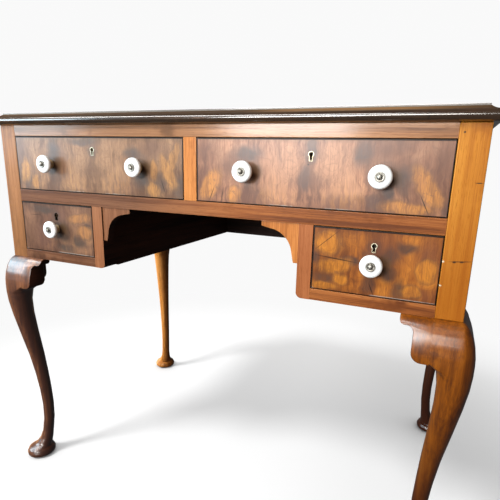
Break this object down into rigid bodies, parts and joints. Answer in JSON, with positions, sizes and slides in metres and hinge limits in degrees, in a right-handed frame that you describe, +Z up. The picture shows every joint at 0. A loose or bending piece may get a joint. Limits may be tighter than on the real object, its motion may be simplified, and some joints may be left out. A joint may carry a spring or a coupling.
{
  "type": "kneehole desk",
  "caption": "Walnut kneehole desk on cabriole legs with pad feet, drawers around an arched kneehole, white glazed knobs and a moulded top.",
  "frame": {"origin": "on the floor, under the middle of the desk's outer box", "axes": "+X along the front to the sitter's right when facing the desk, +Y from front to back, +Z up"},
  "size_m": [0.905, 0.5634, 0.76],
  "materials": {
    "walnut_top": "dark waxed polish",
    "walnut_case": "straight-grained walnut, worn polish",
    "walnut_dark": "dull stained walnut",
    "walnut_legs": "glossy waxed walnut",
    "burr_veneer": "figured burr veneer",
    "oak": "dry, unpolished",
    "glazed_white": "glossy white glaze",
    "bolt_steel": "worn plating",
    "brass": "tarnished brass",
    "lock_iron": "dull iron"
  },
  "bodies": {
    "carcass": {"top_board": "walnut_top", "top_front_moulding": "walnut_top", "top_left_moulding": "walnut_top", "top_right_moulding": "walnut_top", "front_left_leg": "walnut_legs", "front_right_leg": "walnut_legs", "rear_left_leg": "walnut_legs", "rear_right_leg": "walnut_legs", "front_left_knee_brackets": "walnut_legs", "front_right_knee_brackets": "walnut_legs", "rear_left_knee_bracket": "walnut_legs", "rear_right_knee_bracket": "walnut_legs", "top_rail": "walnut_case", "middle_rail": "walnut_case", "centre_muntin": "walnut_case", "lower_rails": "walnut_case", "inner_stiles": "walnut_case", "spandrels": "walnut_case", "right_side_panel": "walnut_case", "left_side_panel": "walnut_case", "back_panel": "oak", "kneehole_sides": "walnut_dark", "drawer_runners": "oak", "drawer_kickers": "oak"},
    "upper_left_drawer": {"upper_left_drawer_front": "burr_veneer", "upper_left_drawer_sides": "oak", "upper_left_drawer_back": "oak", "upper_left_drawer_bottom": "oak", "upper_left_knobs": "glazed_white", "upper_left_knob_bolts": "bolt_steel", "upper_left_escutcheon": "brass", "upper_left_lock": "lock_iron"},
    "upper_left_lock_bolt": {"upper_left_lock_bolt": "lock_iron"},
    "upper_right_drawer": {"upper_right_drawer_front": "burr_veneer", "upper_right_drawer_sides": "oak", "upper_right_drawer_back": "oak", "upper_right_drawer_bottom": "oak", "upper_right_knobs": "glazed_white", "upper_right_knob_bolts": "bolt_steel", "upper_right_escutcheon": "brass", "upper_right_lock": "lock_iron"},
    "upper_right_lock_bolt": {"upper_right_lock_bolt": "lock_iron"},
    "lower_left_drawer": {"lower_left_drawer_front": "burr_veneer", "lower_left_drawer_sides": "oak", "lower_left_drawer_back": "oak", "lower_left_drawer_bottom": "oak", "lower_left_knob": "glazed_white", "lower_left_knob_bolts": "bolt_steel", "lower_left_escutcheon": "brass", "lower_left_lock": "lock_iron"},
    "lower_left_lock_bolt": {"lower_left_lock_bolt": "lock_iron"},
    "lower_right_drawer": {"lower_right_drawer_front": "burr_veneer", "lower_right_drawer_sides": "oak", "lower_right_drawer_back": "oak", "lower_right_drawer_bottom": "oak", "lower_right_knob": "glazed_white", "lower_right_knob_bolts": "bolt_steel", "lower_right_escutcheon": "brass", "lower_right_lock": "lock_iron"},
    "lower_right_lock_bolt": {"lower_right_lock_bolt": "lock_iron"}
  },
  "joints": [
    {"name": "upper_left_drawer_slide", "type": "slide", "parent": "carcass", "child": "upper_left_drawer", "axis": [0, -1, 0], "range_m": [0, 0.36]},
    {"name": "upper_right_drawer_slide", "type": "slide", "parent": "carcass", "child": "upper_right_drawer", "axis": [0, -1, 0], "range_m": [0, 0.36]},
    {"name": "lower_left_drawer_slide", "type": "slide", "parent": "carcass", "child": "lower_left_drawer", "axis": [0, -1, 0], "range_m": [0, 0.36]},
    {"name": "lower_right_drawer_slide", "type": "slide", "parent": "carcass", "child": "lower_right_drawer", "axis": [0, -1, 0], "range_m": [0, 0.36]},
    {"name": "upper_left_lock_bolt_throw", "type": "slide", "parent": "upper_left_drawer", "child": "upper_left_lock_bolt", "axis": [0, 0, 1], "range_m": [0, 0.007]},
    {"name": "upper_right_lock_bolt_throw", "type": "slide", "parent": "upper_right_drawer", "child": "upper_right_lock_bolt", "axis": [0, 0, 1], "range_m": [0, 0.007]},
    {"name": "lower_left_lock_bolt_throw", "type": "slide", "parent": "lower_left_drawer", "child": "lower_left_lock_bolt", "axis": [0, 0, 1], "range_m": [0, 0.007]},
    {"name": "lower_right_lock_bolt_throw", "type": "slide", "parent": "lower_right_drawer", "child": "lower_right_lock_bolt", "axis": [0, 0, 1], "range_m": [0, 0.007]}
  ]
}
